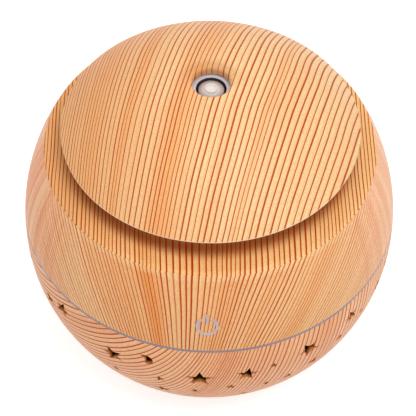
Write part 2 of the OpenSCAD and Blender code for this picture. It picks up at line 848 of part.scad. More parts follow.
module air_riser() {
    color("white")
    translate([riser_x, 0, 0]) difference() {
        union() {
            translate([0, 0, riser_bottom_z])
                cylinder(r = riser_r, h = riser_top_z - riser_bottom_z, $fn = part_fn);
            translate([0, 0, tank_under - riser_collar_t])
                cylinder(r = riser_collar_r, h = riser_collar_t, $fn = part_fn);
        }
        translate([0, 0, riser_bottom_z - over])
            cylinder(r = riser_d / 2, h = riser_top_z - riser_bottom_z + 2 * over, $fn = part_fn);
    }
}

// Funnel from the fan's bore to the riser
module air_duct() {
    flange_r = fan_size / 2;
    flange_h = 1.2;
    throat_z = riser_bottom_z - 0.6;
    sleeve_top = tank_under - riser_collar_t - fit_gap;
    color("gray") {
        translate([fan_x, 0, fan_top]) tube(flange_r, fan_bore_r - 0.2, flange_h);
        difference() {
            hull() {
                translate([fan_x, 0, fan_top + flange_h - 0.1])
                    cylinder(r = fan_bore_r - 0.2 + duct_wall, h = 0.5, $fn = 32);
                translate([riser_x, 0, throat_z - 0.5])
                    cylinder(r = duct_sleeve_r + duct_wall, h = 0.5, $fn = 32);
            }
            hull() {
                translate([fan_x, 0, fan_top + flange_h - 0.6])
                    cylinder(r = fan_bore_r - 0.2, h = 0.6, $fn = 32);
                translate([riser_x, 0, throat_z - 0.5]) cylinder(r = riser_d / 2, h = 1, $fn = 32);
            }
        }
        translate([riser_x, 0, throat_z - 0.01]) difference() {
            cylinder(r = duct_sleeve_r + duct_wall, h = sleeve_top - throat_z, $fn = 32);
            translate([0, 0, 0.6]) cylinder(r = duct_sleeve_r, h = sleeve_top, $fn = 32);
            translate([0, 0, -over]) cylinder(r = riser_d / 2, h = sleeve_top, $fn = 32);
        }
    }
}

// ---- Mist maker ----

module ultrasonic_disc() {
    color("khaki")
    translate([0, 0, disc_z]) cylinder(r = disc_r, h = disc_t, $fn = part_fn);
}

module disc_seal() {
    color("darkorange")
    translate([0, 0, tank_under - seal_h]) difference() {
        tube(seal_r, disc_r - seal_overlap, seal_h);
        translate([0, 0, seal_lip_t]) cylinder(r = disc_r, h = disc_t, $fn = part_fn);
    }
}

module disc_clamp() {
    color("silver")
    difference() {
        union() {
            translate([0, 0, clamp_z]) cylinder(r = clamp_r, h = tank_under - clamp_z, $fn = part_fn);
            at_clamp_ears() translate([0, 0, clamp_z])
                cylinder(r = ear_r, h = tank_under - ear_boss_h - clamp_z, $fn = small_fn);
        }
        translate([0, 0, clamp_z + clamp_t])
            cylinder(r = clamp_r - clamp_wall, h = seal_h + over, $fn = part_fn);
        translate([0, 0, clamp_z - over])
            cylinder(r = disc_r - seal_overlap, h = clamp_t + 2 * over, $fn = part_fn);
        at_clamp_ears() {
            translate([0, 0, clamp_z - over]) cylinder(r = small_screw_r + hole_gap, h = 6, $fn = small_fn);
            translate([0, 0, tank_under - ear_boss_h]) cylinder(r = 2.2 + hole_gap, h = 4, $fn = small_fn);
        }
    }
}

module clamp_screws() {
    color("silver")
    at_clamp_ears() translate([0, 0, clamp_z])
        screw_up(small_screw_r, small_head_r, small_head_h, tank_under - clamp_z - 0.2);
}

// ---- Fan ----

module fan_frame() {
    corner_r = 2;
    color("dimgray")
    translate([fan_x, 0, fan_z]) difference() {
        union() {
            difference() {
                translate([-fan_size / 2, -fan_size / 2, 0]) cube([fan_size, fan_size, fan_h]);
                translate([0, 0, -over]) cylinder(r = fan_bore_r, h = fan_h + 2 * over, $fn = part_fn);
                for (a = [0 : 90 : 270])
                    rotate([0, 0, a])
                        translate([fan_size / 2 - corner_r, fan_size / 2 - corner_r, -over]) difference() {
                        cube([corner_r + over, corner_r + over, fan_h + 2 * over]);
                        cylinder(r = corner_r, h = fan_h + 2 * over, $fn = small_fn);
                    }
            }
            cylinder(r = stator_r, h = stator_t, $fn = part_fn);
            for (a = [20, 140, 260])
                rotate([0, 0, a]) translate([0, -0.9, 0]) cube([fan_bore_r + 0.3, 1.8, stator_t]);
        }
        translate([0, 0, -over]) cylinder(r = bush_r + hole_gap, h = stator_t + 2 * over, $fn = small_fn);
        for (x = [-fan_hole_at, fan_hole_at], y = [-fan_hole_at, fan_hole_at])
            translate([x, y, 0]) {
                translate([0, 0, -over])
                    cylinder(r = small_screw_r + 0.3, h = fan_h + 2 * over, $fn = small_fn);
                translate([0, 0, fan_h - small_head_h])
                    cylinder(r = small_head_r + fit_gap, h = fan_h, $fn = small_fn);
            }
    }
}

module fan_bearing() {
    color("goldenrod")
    translate([fan_x, 0, fan_z]) tube(bush_r, shaft_r + hole_gap, rotor_h, small_fn);
}

module fan_coils() {
    tooth_count = 4;
    color("peru")
    translate([fan_x, 0, rotor_z]) {
        tube(bush_r + 0.6, bush_r + hole_gap, rotor_h - 2.2, small_fn);
        for (i = [0 : tooth_count - 1])
            rotate([0, 0, 45 + 360 * i / tooth_count]) {
                translate([bush_r + 0.3, -0.8, 0.2]) cube([coil_r - bush_r - 0.8, 1.6, rotor_h - 2.6]);
                intersection() {
                    tube(coil_r, coil_r - 0.7, rotor_h - 2.2, small_fn);
                    translate([0, -1.7, 0]) cube([coil_r + over, 3.4, rotor_h]);
                }
            }
    }
}

module fan_screws() {
    length = fan_h + 1.8;
    color("silver")
    for (x = [-1, 1])
        translate([fan_x + x * fan_hole_at, x * fan_hole_at, fan_top - small_head_h]) mirror([0, 0, 1])
            screw_up(small_screw_r, small_head_r, small_head_h, length - small_head_h);
}

// One blade: a thin curved slat set at a slant, run out along the radius
module fan_blade() {
    camber_r = 7.5;
    blade_t = 0.6;
    chord = rotor_h * 1.25;
    rotate([90, 0, 90]) linear_extrude(height = blade_tip_r + over)
        rotate(-48) translate([0, -camber_r]) intersection() {
            difference() {
                circle(r = camber_r + blade_t / 2, $fn = part_fn);
                circle(r = camber_r - blade_t / 2, $fn = part_fn);
            }
            translate([-chord / 2, 0]) square([chord, camber_r * 2]);
        }
}

module fan_rotor() {
    blade_low = 0.5;
    color("black")
    translate([fan_x, 0, rotor_z]) {
        difference() {
            cylinder(r = hub_r, h = rotor_h, $fn = part_fn);
            translate([0, 0, -over])
                cylinder(r = hub_r - hub_wall, h = rotor_h - hub_roof + over, $fn = part_fn);
            translate([0, 0, -over])
                cylinder(r = shaft_r, h = rotor_h - hub_roof + shaft_seat + over, $fn = small_fn);
        }
        intersection() {
            for (i = [0 : blade_count - 1])
                rotate([0, 0, 360 * i / blade_count]) translate([0, 0, rotor_h / 2]) fan_blade();
            translate([0, 0, blade_low]) tube(blade_tip_r, hub_r - 0.2, rotor_h - 2 * blade_low);
        }
    }
}

module fan_magnet() {
    color("darkslategray")
    translate([fan_x, 0, rotor_z + fit_gap])
        tube(hub_r - hub_wall, hub_r - hub_wall - magnet_t, rotor_h - hub_roof - 2 * fit_gap);
}

module fan_shaft() {
    shaft_top = rotor_z + rotor_h - hub_roof + shaft_seat;
    color("silver")
    translate([fan_x, 0, fan_z + fit_gap])
        cylinder(r = shaft_r, h = shaft_top - fan_z - fit_gap, $fn = small_fn);
}

// ---- Boards and components ----

// A point of the main board's upper face: shares of its length from its inner edge and of its
// width from its middle
function on_board(along, aside) = [board_x0 + along * main_board_x, aside * main_board_y, board_top];

module at_board_holes() {
    for (x = [board_hole_in, main_board_x - board_hole_in], side = [-1, 1])
        translate([board_x0 + x, side * (main_board_y / 2 - board_hole_in), 0]) children();
}

module main_board() {
    color("seagreen")
    difference() {
        translate([board_x0, -main_board_y / 2, board_z]) cube([main_board_x, main_board_y, board_t]);
        at_board_holes() translate([0, 0, board_z - over])
            cylinder(r = small_screw_r + 0.2, h = board_t + 2 * over, $fn = small_fn);
        // room for the tank's screw posts
        at_base_screws() translate([0, 0, board_z - over])
            cylinder(r = post_r + 2 * fit_gap, h = board_t + 2 * over, $fn = small_fn);
    }
}

module board_screws() {
    color("silver")
    at_board_holes() translate([0, 0, board_top]) mirror([0, 0, 1])
        screw_up(small_screw_r, small_head_r, small_head_h, board_t + 3);
}

module inductor() {
    color("dimgray")
    translate(on_board(0.717, 0.16)) {
        cylinder(r = inductor_r, h = inductor_flange, $fn = part_fn);
        translate([0, 0, inductor_flange / 2])
            cylinder(r = inductor_r - 1, h = inductor_h - inductor_flange, $fn = part_fn);
        translate([0, 0, inductor_h - inductor_flange])
            cylinder(r = inductor_r, h = inductor_flange, $fn = part_fn);
    }
}

module capacitors() {
    places = [on_board(0.3, -0.276), on_board(0.55, -0.365)];
    bead_h = 0.6;          // rolled bead near the can's open end
    color("midnightblue")
    for (i = [0 : 1])
        translate(places[i]) {
            cylinder(r = can_r[i], h = bead_h, $fn = part_fn);
            cylinder(r = can_r[i] - 0.25, h = can_h[i] - bead_h / 2, $fn = part_fn);
            translate([0, 0, 2 * bead_h])
                cylinder(r = can_r[i], h = can_h[i] - 2 * bead_h, $fn = part_fn);
        }
}

module control_chip() {
    pins = 5;
    pitch = chip_size[1] / (pins + 0.3);
    middle = on_board(0.347, 0.038);
    color("black") {
        translate(middle + [-chip_size[0] / 2, -chip_size[1] / 2, 0.2]) cube(chip_size);
        for (side = [-1, 1], i = [0 : pins - 1])
            translate(middle + [side * (chip_size[0] / 2 + pin_w), (i - 2) * pitch - pin_w / 2, 0])
                translate([-pin_w * 1.2, 0, 0]) cube([pin_w * 2.4, pin_w, pin_w]);
    }
}

module power_transistor() {
    middle = on_board(0.89, -0.147);
    lead_pitch = transistor_size[1] / 3;
    color("dimgray") {
        translate(middle + [0, -heat_sink_size[1] / 2, 0]) cube(heat_sink_size);
        translate(middle + [-transistor_size[0], -transistor_size[1] / 2, 0.6]) cube(transistor_size);
        for (i = [-1 : 1])
            translate(middle + [-transistor_size[0] / 2 - pin_w / 2, i * lead_pitch - pin_w / 2, 0])
                cube([pin_w, pin_w, 0.8]);
    }
}

// Light board: an open ring round the mist maker, its gap towards the air duct
module light_board() {
    gap_half = 9.6;
    color("white")
    translate([0, 0, light_z]) difference() {
        tube(light_board_r, light_board_in_r, board_t);
        translate([-light_board_r - over, -gap_half, -over])
            cube([light_board_r, 2 * gap_half, board_t + 2 * over]);
        at_light_stands() translate([0, 0, -over])
            cylinder(r = light_peg_r + hole_gap, h = board_t + 2 * over, $fn = small_fn);
    }
}

// The lights are spread over the ring's arc, clear of its gap
light_arc = 262;
function light_angle(i) = light_arc * (i / (led_count - 1) - 0.5);

module lights() {
    color("lightyellow")
    for (i = [0 : led_count - 1])
        at_polar(light_mid_r, light_angle(i))
            translate([-light_size / 2, -light_size / 2, light_z - light_h])
            cube([light_size, light_size, light_h]);
}

module touch_board() {
    color("seagreen")
    translate([-touch_size[0] / 2, -touch_y, touch_z - touch_size[2] / 2]) cube(touch_size);
}

module touch_spring() {
    wire_r = 0.3;
    coil_r = 2.4;
    turns = 4;
    steps = 10;
    free = 2 * wire_r + 0.4;
    length = side_r(touch_z, wall) - touch_y - free;
    rise = length / (turns * 360);
    angles = [0 : 360 / steps : 360 * turns];
    start_y = -touch_y - wire_r - hole_gap;
    path = [for (a = angles) [coil_r * cos(a), start_y - rise * a, touch_z + coil_r * sin(a)]];
    ways = [for (a = angles) unit([-coil_r * sin(a), -rise * 180 / PI, coil_r * cos(a)])];
    color("gold") tube_along(path, ways, wire_r, 5);
}

// ---- Power inlet ----

module inlet_socket() {
    back_t = inlet_size[1] + inlet_wall - inlet_depth;
    color("black")
    translate([0, inlet_back_y, inlet_z]) difference() {
        union() {
            translate([-inlet_size[0] / 2, 0, -inlet_size[2] / 2])
                cube([inlet_size[0], inlet_size[1], inlet_size[2]]);
            rotate([-90, 0, 0]) cylinder(r = inlet_nose_r, h = inlet_size[1] + inlet_wall, $fn = part_fn);
        }
        translate([0, back_t, 0]) rotate([-90, 0, 0])
            cylinder(r = inlet_hole_r, h = inlet_depth + over, $fn = part_fn);
        translate([0, -over, 0]) rotate([-90, 0, 0])
            cylinder(r = inlet_pin_r, h = back_t + 2 * over, $fn = small_fn);
    }
}

module inlet_contacts() {
    color("silver")
    translate([0, inlet_back_y, inlet_z]) {
        translate([0, -contact_tail, 0]) rotate([-90, 0, 0])
            cylinder(r = inlet_pin_r, h = contact_tail + inlet_size[1] + inlet_wall - 1, $fn = small_fn);
        translate(contact_tab_at) cube(contact_tab);
    }
}

// ---- Leads ----

// A lead that leaves p along way_p, bends round and meets q square to the board below it
module board_lead(p, way_p, q, rise) {
    lead([p, p + way_p, q + [0, 0, rise], q]);
}

module inlet_leads() {
    pin_end = [0, inlet_back_y - contact_tail, inlet_z];
    tab_end = [0, inlet_back_y, inlet_z] + contact_tab_at + [contact_tab[0], 0, contact_tab[2]] / 2;
    color("crimson") {
        board_lead(pin_end, [0, -2.6, 0], on_board(0.204, 0.382), 4);
        board_lead(tab_end, [0, -3.6, 0], on_board(0.1, 0.265), 6);
    }
}

module fan_leads() {
    from_edge = 0.7;
    color("firebrick")
    for (share = [0.26, 0.31])
        board_lead([fan_x + fan_size / 2 - from_edge, -share * fan_size, fan_top], [0, 0, 4],
            on_board(0.068, -share * fan_size / main_board_y), 4);
}

module disc_leads() {
    color("white")
    for (s = [-1, 1])
        board_lead([2 * s, 0, disc_z], [0, 0, -7], on_board(0.53, -0.106) + [s, 0, 0], 5);
}

module light_leads() {
    color("orange")
    for (i = [0, 1.6])
        board_lead(light_mid_r * [0.66, 0.68, 0] + [i, 0, light_z], [0, 0, -4],
            on_board(0.543, 0.424) + [i, 0, 0], 4);
}

module touch_lead() {
    start_y = touch_size[1] / 2 - touch_y;
    board_mid_z = board_z + board_t / 2;
    beside_wall = side_r(board_mid_z, wall) - 3.7;
    color("black")
    lead([
        [5, start_y, touch_z - touch_size[2] / 2], [9, start_y, board_top + 10],
        [beside_wall, -8, board_mid_z], [board_x0 + main_board_x, -8, board_mid_z]
    ]);
}

lower_shell();
upper_shell();
trim_ring();
power_mark();
base_plate();
foot_pads();
base_screws();
lid_cover();
lid_liner();
lid_gasket();
lid_screws();
mist_nozzle();
mist_button();
water_tank();
air_riser();
air_duct();
ultrasonic_disc();
disc_seal();
disc_clamp();
clamp_screws();
fan_frame();
fan_coils();
fan_bearing();
fan_screws();
fan_rotor();
fan_magnet();
fan_shaft();
light_board();
lights();
main_board();
board_screws();
inductor();
capacitors();
control_chip();
power_transistor();
touch_board();
touch_spring();
inlet_socket();
inlet_contacts();
inlet_leads();
fan_leads();
disc_leads();
light_leads();
touch_lead();
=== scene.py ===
import math

import bmesh
import bpy
from mathutils import Matrix, Vector


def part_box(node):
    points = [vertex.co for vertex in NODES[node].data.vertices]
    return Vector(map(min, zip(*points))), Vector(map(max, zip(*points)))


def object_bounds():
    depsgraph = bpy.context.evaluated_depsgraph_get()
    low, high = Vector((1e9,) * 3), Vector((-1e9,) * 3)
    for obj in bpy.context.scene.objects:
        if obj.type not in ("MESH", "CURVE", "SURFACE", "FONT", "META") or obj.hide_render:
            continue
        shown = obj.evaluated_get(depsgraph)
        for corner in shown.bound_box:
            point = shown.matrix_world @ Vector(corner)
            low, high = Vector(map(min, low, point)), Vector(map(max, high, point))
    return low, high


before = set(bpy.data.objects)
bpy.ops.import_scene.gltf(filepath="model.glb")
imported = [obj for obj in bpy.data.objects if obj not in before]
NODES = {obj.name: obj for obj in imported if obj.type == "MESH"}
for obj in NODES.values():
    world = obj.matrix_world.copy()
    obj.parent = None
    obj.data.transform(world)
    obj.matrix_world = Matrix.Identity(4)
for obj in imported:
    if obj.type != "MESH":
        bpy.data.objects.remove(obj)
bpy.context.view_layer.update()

MM = 0.001
FULL_TURN = 2 * math.pi


# ---- Small tools -------------------------------------------------------------------------

def rgb(r, g, b):
    """A colour given in 0 to 255 as it looks on screen, as linear RGBA."""
    def linear(c):
        c /= 255
        return c / 12.92 if c <= 0.04045 else ((c + 0.055) / 1.055) ** 2.4
    return (linear(r), linear(g), linear(b), 1.0)


def darker(colour, shade):
    """The colour with this share of its light taken away."""
    return tuple(c * (1 - shade) for c in colour[:3]) + (1.0,)


def feed(tree, slot, value):
    """Gives a node's input a field, another node's output, or a plain number or colour."""
    if isinstance(value, Field):
        tree.links.new(value.socket, slot)
    elif isinstance(value, bpy.types.NodeSocket):
        tree.links.new(value, slot)
    else:
        slot.default_value = value


def maths(operation):
    """A method of Field that makes one Math node, with the field as its first value."""
    def method(field, *others):
        node = field.tree.nodes.new("ShaderNodeMath")
        node.operation = operation
        for slot, value in zip(node.inputs, (field,) + others):
            feed(field.tree, slot, value)
        return Field(field.tree, node.outputs[0])
    return method


class Field:
    """A number that varies over a surface, with plain arithmetic that becomes Math nodes."""

    def __init__(self, tree, socket):
        self.tree = tree
        self.socket = socket

    __add__ = maths("ADD")
    __radd__ = __add__
    __sub__ = maths("SUBTRACT")
    __mul__ = maths("MULTIPLY")
    __truediv__ = maths("DIVIDE")
    floor = maths("FLOOR")
    fract = maths("FRACT")
    wrap = maths("WRAP")
    sin = maths("SINE")
    cos = maths("COSINE")
    tanh = maths("TANH")
    atan2 = maths("ARCTAN2")
    sqrt = maths("SQRT")
    power = maths("POWER")
    abs = maths("ABSOLUTE")
    at_least = maths("MAXIMUM")
    at_most = maths("MINIMUM")
    above = maths("GREATER_THAN")

    def __rsub__(self, other):
        return self * -1.0 + other

    def step(self, low, high, to_low=0.0, to_high=1.0):
        """Goes smoothly from to_low to to_high while the field goes from low to high."""
        node = self.tree.nodes.new("ShaderNodeMapRange")
        node.interpolation_type = "SMOOTHSTEP"
        feed(self.tree, node.inputs["Value"], self)
        for name, value in (("From Min", low), ("From Max", high), ("To Min", to_low), ("To Max", to_high)):
            feed(self.tree, node.inputs[name], value)
        return Field(self.tree, node.outputs["Result"])


def from_axis(x, y):
    """The distance from the upright axis."""
    return (x * x + y * y).sqrt()


def angle_round(x, y):
    """The angle from the front round the upright axis, in radians, more than 0 on the right."""
    return x.atan2(y * -1.0)


class Painter:
    """One material and the nodes that paint it."""

    def __init__(self, name):
        self.material = bpy.data.materials.new(name)
        self.material.use_nodes = True
        self.tree = self.material.node_tree
        self.shader = self.tree.nodes["Principled BSDF"]

    def place(self):
        """x, y and z of the object, in millimetres of the row frame at rest."""
        coord = self.tree.nodes.new("ShaderNodeTexCoord")
        split = self.tree.nodes.new("ShaderNodeSeparateXYZ")
        self.tree.links.new(coord.outputs["Object"], split.inputs[0])
        return [Field(self.tree, out) * 1000.0 for out in split.outputs]

    def vector(self, x, y, z):
        node = self.tree.nodes.new("ShaderNodeCombineXYZ")
        for slot, value in zip(node.inputs, (x, y, z)):
            feed(self.tree, slot, value)
        return node.outputs[0]

    def noise(self, vector, scale, detail=2.0, rough=0.5):
        node = self.tree.nodes.new("ShaderNodeTexNoise")
        for name, value in (("Vector", vector), ("Scale", scale), ("Detail", detail), ("Roughness", rough)):
            feed(self.tree, node.inputs[name], value)
        return Field(self.tree, node.outputs["Fac"])

    def chance(self, value):
        """A fixed random number for each whole number."""
        node = self.tree.nodes.new("ShaderNodeTexWhiteNoise")
        node.noise_dimensions = "1D"
        feed(self.tree, node.inputs["W"], value)
        return Field(self.tree, node.outputs["Value"])

    def mix(self, share, colour, tone):
        """The colour with this share of the tone mixed in."""
        node = self.tree.nodes.new("ShaderNodeMix")
        node.data_type = "RGBA"
        # 0, 6 and 7 are the factor and the two colours. The inputs between are for other types of data.
        for slot, value in ((0, share), (6, colour), (7, tone)):
            feed(self.tree, node.inputs[slot], value)
        return node.outputs[2]

    def paint(self, colour, rough, metal=0.0):
        for name, value in (("Base Color", colour), ("Roughness", rough), ("Metallic", metal)):
            feed(self.tree, self.shader.inputs[name], value)
        return self

    def emboss(self, height, depth_mm, strength):
        node = self.tree.nodes.new("ShaderNodeBump")
        for name, value in (("Strength", strength), ("Distance", depth_mm * MM), ("Height", height)):
            feed(self.tree, node.inputs[name], value)
        self.tree.links.new(node.outputs[0], self.shader.inputs["Normal"])
        return self

    def set(self, **sockets):
        for name, value in sockets.items():
            self.shader.inputs[name.replace("_", " ")].default_value = value
        return self


def wear(painter, *node_names):
    """Gives every material slot of these CAD nodes this material."""
    for name in node_names:
        mesh = NODES[name].data
        if not mesh.materials:
            mesh.materials.append(painter.material)
        for i in range(len(mesh.materials)):
            mesh.materials[i] = painter.material


# ---- Camera, floor and light --------------------------------------------------------------

def make_camera():
    """The camera stands in front and above, at the photograph's angle."""
    place = Vector((0, -0.20895, 0.30022))
    look_down = math.radians(51.05)
    roll = 0.017
    ahead = Vector((0, math.cos(look_down), -math.sin(look_down)))
    right = Vector((1, 0, 0))
    up = right.cross(ahead)
    side = math.cos(roll) * right + math.sin(roll) * up
    top = -math.sin(roll) * right + math.cos(roll) * up
    data = bpy.data.cameras.new("camera")
    data.sensor_width = 36
    data.lens = 105.44
    data.shift_x = -0.0032
    data.shift_y = -0.013
    data.clip_start = 0.01
    data.clip_end = 20
    camera = bpy.data.objects.new("camera", data)
    bpy.context.scene.collection.objects.link(camera)
    camera.matrix_world = Matrix((
        (side.x, top.x, -ahead.x, place.x),
        (side.y, top.y, -ahead.y, place.y),
        (side.z, top.z, -ahead.z, place.z),
        (0, 0, 0, 1),
    ))
    bpy.context.scene.camera = camera


def in_view(tree):
    """1 for the rays that show things, straight, mirrored or let through, and 0 for those that light them."""
    path = tree.nodes.new("ShaderNodeLightPath")
    seen = Field(tree, path.outputs["Is Camera Ray"])
    seen = seen.at_least(Field(tree, path.outputs["Is Glossy Ray"]))
    return seen.at_least(Field(tree, path.outputs["Is Transmission Ray"]))


def make_floor():
    """A wide pale disc just under the pads. It glows where it is seen, and lights nothing by that."""
    floor_r = 6
    gap = 0.00002
    glow_strength = 0.66
    mesh = bpy.data.meshes.new("floor")
    shape = bmesh.new()
    bmesh.ops.create_circle(shape, cap_ends=True, segments=64, radius=floor_r)
    shape.to_mesh(mesh)
    shape.free()
    floor = bpy.data.objects.new("floor", mesh)
    bpy.context.scene.collection.objects.link(floor)
    floor.location.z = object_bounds()[0].z - gap
    painter = Painter("floor").paint(rgb(206, 206, 206), 0.9).set(Specular_IOR_Level=0.0)
    tree = painter.tree
    glow = tree.nodes.new("ShaderNodeEmission")
    feed(tree, glow.inputs["Strength"], in_view(tree) * glow_strength)
    both = tree.nodes.new("ShaderNodeAddShader")
    tree.links.new(painter.shader.outputs[0], both.inputs[0])
    tree.links.new(glow.outputs[0], both.inputs[1])
    tree.links.new(both.outputs[0], tree.nodes["Material Output"].inputs["Surface"])
    mesh.materials.append(painter.material)


def make_sky():
    """A plain sky that lights things more from overhead than from the horizon, and shows as white."""
    world = bpy.data.worlds.new("world")
    bpy.context.scene.world = world
    world.use_nodes = True
    tree = world.node_tree
    background = tree.nodes["Background"]
    background.inputs["Color"].default_value = (1, 1, 1, 1)
    coord = tree.nodes.new("ShaderNodeTexCoord")
    split = tree.nodes.new("ShaderNodeSeparateXYZ")
    tree.links.new(coord.outputs["Generated"], split.inputs[0])
    at_horizon = 0.42
    overhead = 0.85
    sky = Field(tree, split.outputs[2]).step(-0.1, 0.95, at_horizon, overhead)
    feed(tree, background.inputs["Strength"], sky + (1.0 - sky) * in_view(tree))


# Each lamp's name, place in metres, width in metres and power in watts
LAMPS = (
    ("key", (0.26, -0.24, 0.95), 0.5, 3.3),
    ("fill", (-0.6, -0.55, 0.5), 0.6, 0.7),
    ("low", (0.45, -0.75, 0.22), 0.6, 0.8),
    ("back", (0.1, 0.7, 0.6), 0.6, 0.5),
)


def make_lamps():
    """Round lamps, all aimed at the middle of the object."""
    aim = Vector((0, 0, 0.05))
    for name, place, size, power in LAMPS:
        data = bpy.data.lights.new(name, "AREA")
        data.shape = "DISK"
        data.size = size
        data.energy = power
        lamp = bpy.data.objects.new(name, data)
        bpy.context.scene.collection.objects.link(lamp)
        lamp.location = place
        lamp.rotation_mode = "QUATERNION"
        lamp.rotation_quaternion = (aim - Vector(place)).to_track_quat("-Z", "Y")


# ---- Wood-grained film: lines and colours ---------------------------------------------------

# Where a line lies in its share of the film, which runs from 0 to 1
LINE_AT = 0.62
# Added to a line's number to draw its weight and its place, once its width is drawn
WEIGHT_DRAW = 400.5
PLACE_DRAW = 900.5


def bend_lines(painter, here, count, look):
    """Lets the lines drift and crowds them together in the bands, where the film is also warmer."""
    slow = painter.noise(here, 0.035, 1.0) - 0.5
    quick = painter.noise(here, 0.13, 1.0) - 0.5
    count = count + slow * look["drift"] + quick * 0.1
    warmth = 0.0
    for middle, half_width, extra, tone in look["bands"]:
        bend = ((count - middle) / half_width).tanh()
        warmth = warmth + (1.0 - bend * bend) * tone
        count = count + bend * extra
    return count, warmth


def draw_lines(painter, count, lines_round, look):
    """How dark the lines are, and the slopes of warm colour up to them. A line's width, weight and place are
    drawn from its number."""
    index = count.floor().wrap(lines_round, 0.0)
    inside = count.fract()
    least_width, more_width = look["width"]
    width = painter.chance(index) * more_width + least_width
    weight = painter.chance(index + WEIGHT_DRAW).power(0.8) * (1 - look["faint"]) + look["faint"]
    aside = (painter.chance(index + PLACE_DRAW) - 0.5) * look["jitter"]
    line = (inside - LINE_AT - aside).abs().step(width * 0.55, width, 1.0, 0.0)
    slope = inside.step(0.05, LINE_AT) * (1.0 - inside.step(LINE_AT, LINE_AT + 0.1))
    return line * weight, slope * weight * look["slope"]


def wood(name, field, lines_round, look, masks):
    """Printed pine film.

    field gives the line count, the place along the lines in mm and how strong the lines are. The pattern
    starts again after lines_round lines, so that it closes at the back of a part that they go round. masks
    gives the tones of parts of the film, painted light and shade among them: those under its lines, and those
    over them.
    """
    painter = Painter(name)
    x, y, z = painter.place()
    here = painter.vector(x, y, z)
    count, along, keep = field(x, y, z)
    count, warmth = bend_lines(painter, here, count, look)
    turn = count * (FULL_TURN / lines_round)
    reach = lines_round / FULL_TURN

    def streaks(across, down, detail=2.0):
        """Noise that is drawn out along the lines."""
        wide = reach * across
        return painter.noise(painter.vector(turn.cos() * wide, turn.sin() * wide, along * down), 1.0, detail)

    line, slope = draw_lines(painter, count, lines_round, look)
    line = line * streaks(0.9, 0.035).step(0.28, 0.62, look["fade"], 1.0) * keep
    slope = slope * keep
    warmth = warmth + streaks(0.16, 0.012, 1.0).step(0.5, 0.72) * look["band"]
    fibre = streaks(7.0, 0.16, 3.0)
    patch = painter.noise(here, 0.03, 1.0)
    speck = painter.noise(painter.vector(x, y, z * 0.6), 2.1, 2.0, 0.7)
    under, over = masks(painter, x, y, z)
    layers = (
        (patch.step(0.35, 0.7, 0.0, look["patch"]), look["rose"]),
        (warmth.at_most(1.0), look["warm"]),
        (fibre.step(0.3, 0.75, 0.0, look["fibre"]), look["warm"]),
        *under,
        (slope, look["warm"]),
        (speck.step(0.35, 0.75, 0.0, look["speck"]), look["line"]),
        ((line * look["strength"]).at_most(1.0), painter.mix(keep, look["light_line"], look["line"])),
        *over,
    )
    colour = look["pale"]
    for share, tone in layers:
        colour = painter.mix(share, colour, tone)
    painter.paint(colour, fibre.step(0.2, 0.8, 0.36, 0.5))
    painter.set(Specular_IOR_Level=0.12, Coat_Weight=0.03, Coat_Roughness=0.25)
    return painter.emboss(line * -0.5 + fibre, depth_mm=0.03, strength=0.35)


# What a look gives:
# pale                colour of the plain film
# warm                colour of the bands, the fibres and the slopes
# rose                colour of the patches
# line, light_line    colours of a line where the lines are strong and where they are faint
# width               a line's least half width and how much more it can have, in lines
# faint               weight of the weakest line
# fade                strength of a line where it fades along its way
# band                the most that wide streaks warm the film, besides the bands
# slope, fibre, patch, speck    the most that each of these colours the film
# strength            what a line's darkness is multiplied by
# drift, jitter       how far lines wander together and each by itself, in lines
# bands               each band's middle and half width in lines, the lines that it gains on either side and
#                     how warm it is
LID_LOOK = {
    "pale": rgb(244, 213, 160),
    "warm": rgb(240, 160, 92),
    "rose": rgb(242, 192, 140),
    "line": rgb(180, 70, 0),
    "light_line": rgb(226, 110, 40),
    "width": (0.085, 0.08),
    "faint": 0.58,
    "fade": 0.7,
    "slope": 0.45,
    "band": 0.25,
    "fibre": 0.25,
    "patch": 0.25,
    "speck": 0.22,
    "strength": 1.75,
    "drift": 0.9,
    "jitter": 0.2,
    "bands": (
        (-2.6, 2.4, 1.0, 0.45),
        (-12.7, 0.9, 0.5, 0.4),
        (11.0, 0.8, 0.5, 0.3),
        (-21.0, 2.0, 0.5, 0.25),
    ),
}
UPPER_LOOK = dict(
    LID_LOOK,
    pale=rgb(246, 204, 148),
    warm=rgb(235, 144, 64),
    rose=rgb(242, 182, 128),
    line=rgb(172, 56, 0),
    width=(0.115, 0.09),
    bands=(
        (2.5, 2.4, 1.5, 0.3),
        (-11.6, 1.8, 1.0, 0.75),
        (-19.0, 3.0, 1.0, 0.3),
        (24.0, 2.5, 0.8, 0.35),
        (13.0, 1.0, 0.2, 0.2),
    ),
)
BOWL_LOOK = dict(
    LID_LOOK,
    pale=rgb(255, 202, 150),
    warm=rgb(232, 146, 92),
    rose=rgb(240, 166, 120),
    line=rgb(172, 58, 8),
    width=(0.1, 0.08),
    band=0.6,
    bands=((4.0, 3.0, 1.0, 0.4),),
)


# ---- Wood-grained film: the three parts ------------------------------------------------------

# Lines round the upper shell. The lid has fewer, so its pattern never starts again.
WALL_LINES = 232
# Lines round the bowl: the even ones, and those that the crowd at the front adds on either side
BOWL_EVEN_LINES = 136
BOWL_CROWD_LINES = 10
BOWL_LINES = BOWL_EVEN_LINES + 2 * BOWL_CROWD_LINES

# Radius and height in mm of the edge where the upper shell's wall turns in to its shoulder
EDGE_R = 42.0
EDGE_Z = 67.0
# Angle from the front beyond which the shoulder's lines point outwards
BEHIND = 2.2

# The bowl's outer curve in mm: its radius, and the height where the bowl is widest
BOWL_CURVE_R = 54.8
WIDEST_Z = 38.0


